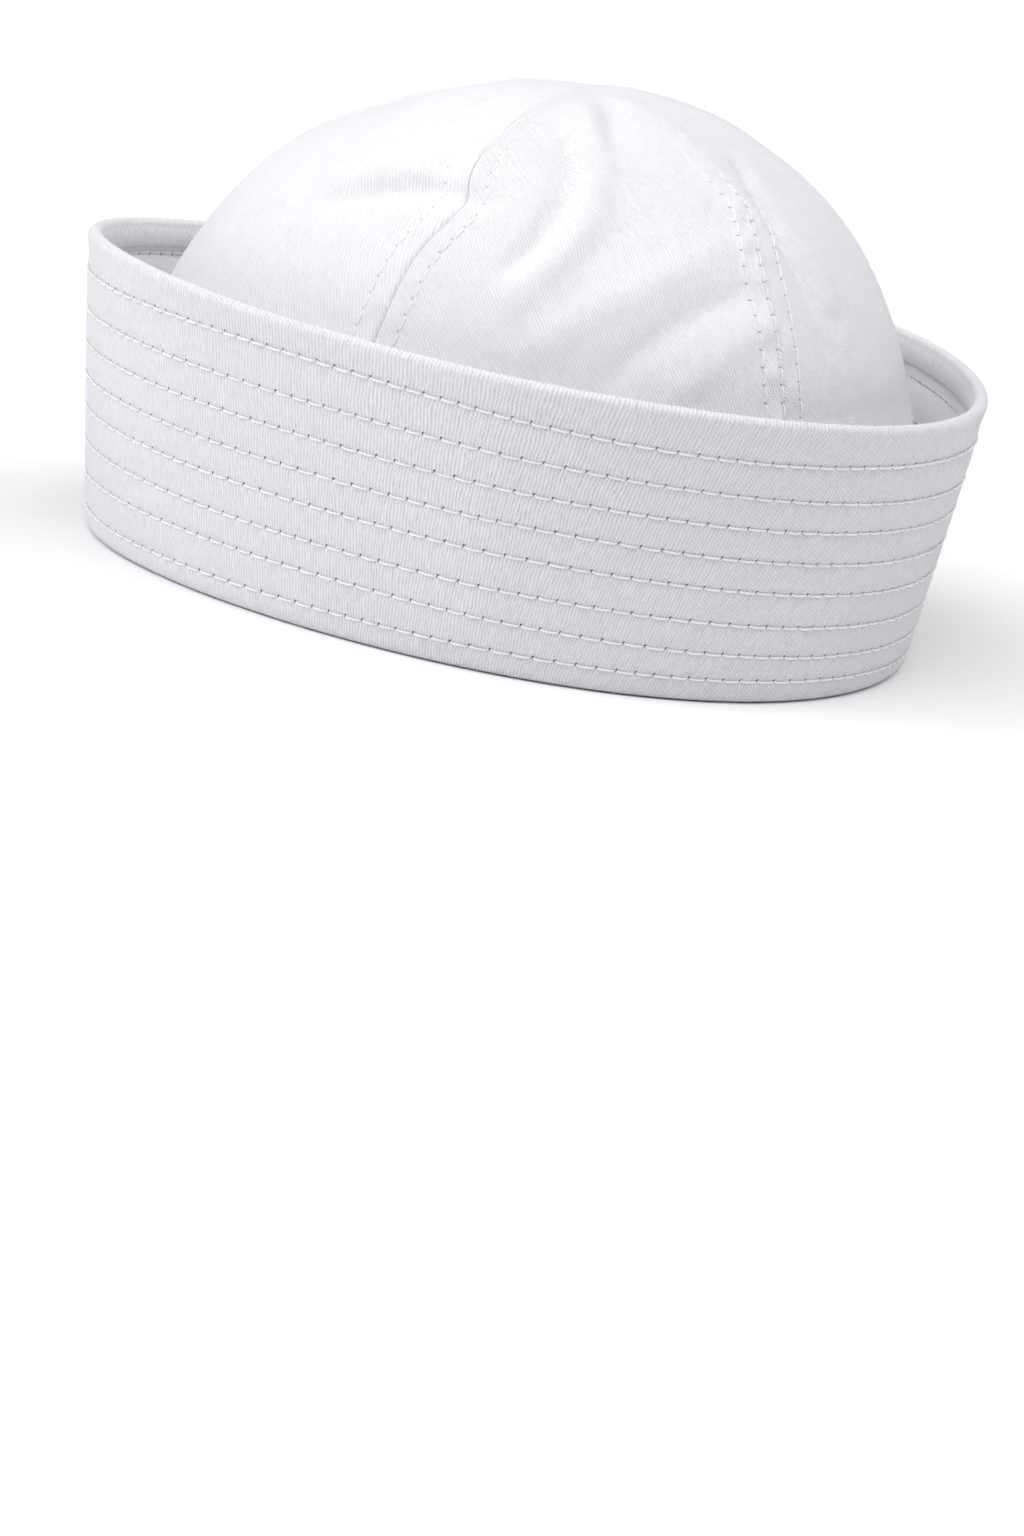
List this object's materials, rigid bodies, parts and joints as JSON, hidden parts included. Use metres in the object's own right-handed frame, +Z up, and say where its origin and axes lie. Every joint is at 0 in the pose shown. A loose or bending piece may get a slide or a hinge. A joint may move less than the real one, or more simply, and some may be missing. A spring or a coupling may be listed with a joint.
{
  "type": "sailor cap",
  "caption": "Soft white sailor cap: a domed crown of sewn panels, with a tall stitched brim turned up all round and open underneath for the head.",
  "frame": {"origin": "middle of the foot of the brim, on the surface that the cap stands on", "axes": "-Y to the front of the cap, +X to the wearer's left, +Z up to the top of the crown"},
  "size_m": [0.2036, 0.2302, 0.1302],
  "materials": {
    "crown_twill": "matte white cotton twill, its diagonal lines fine and soft",
    "brim_twill": "matte white cotton twill with fine upright ribs, stitched in rows"
  },
  "bodies": {
    "root": {"crown_panel_1": "crown_twill", "crown_panel_2": "crown_twill", "crown_panel_3": "crown_twill", "crown_panel_4": "crown_twill", "crown_panel_5": "crown_twill", "crown_panel_6": "crown_twill", "brim_outer_ply": "brim_twill", "brim_inner_ply": "brim_twill"}
  },
  "joints": []
}
